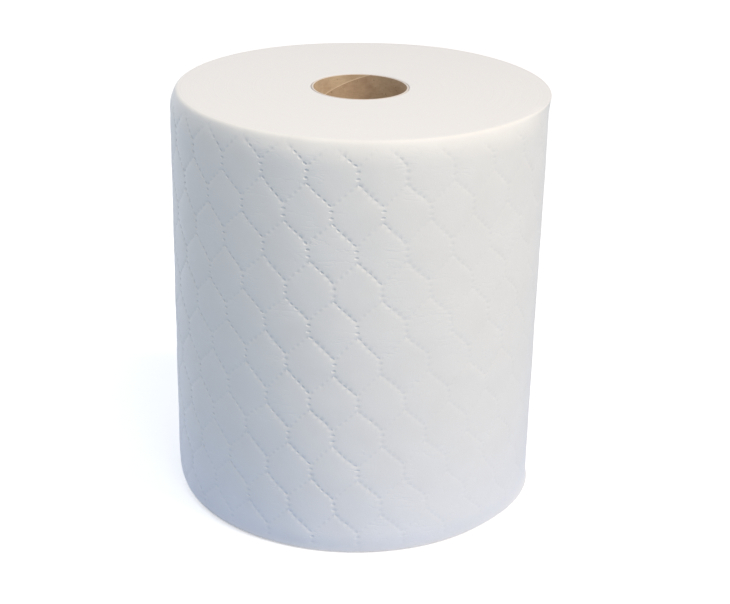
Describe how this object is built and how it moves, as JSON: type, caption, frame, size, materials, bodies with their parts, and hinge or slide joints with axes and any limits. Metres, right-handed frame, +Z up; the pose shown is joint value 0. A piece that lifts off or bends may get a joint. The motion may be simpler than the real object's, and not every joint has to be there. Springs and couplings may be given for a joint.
{
  "type": "roll of nonwoven towels",
  "caption": "Large upright roll of white nonwoven towels with honeycomb quilting, wound on a brown cardboard core with an open bore.",
  "frame": {"origin": "middle of the face that the roll stands on, on the axis of the core", "axes": "+Z up along the core, -Y towards the viewer of the picture, +X to the viewer's right"},
  "size_m": [0.283, 0.283, 0.32],
  "materials": {
    "cardboard": "matt kraft board",
    "nonwoven": "matt white nonwoven"
  },
  "bodies": {
    "root": {"core": "cardboard", "towel_roll": "nonwoven"}
  },
  "joints": []
}
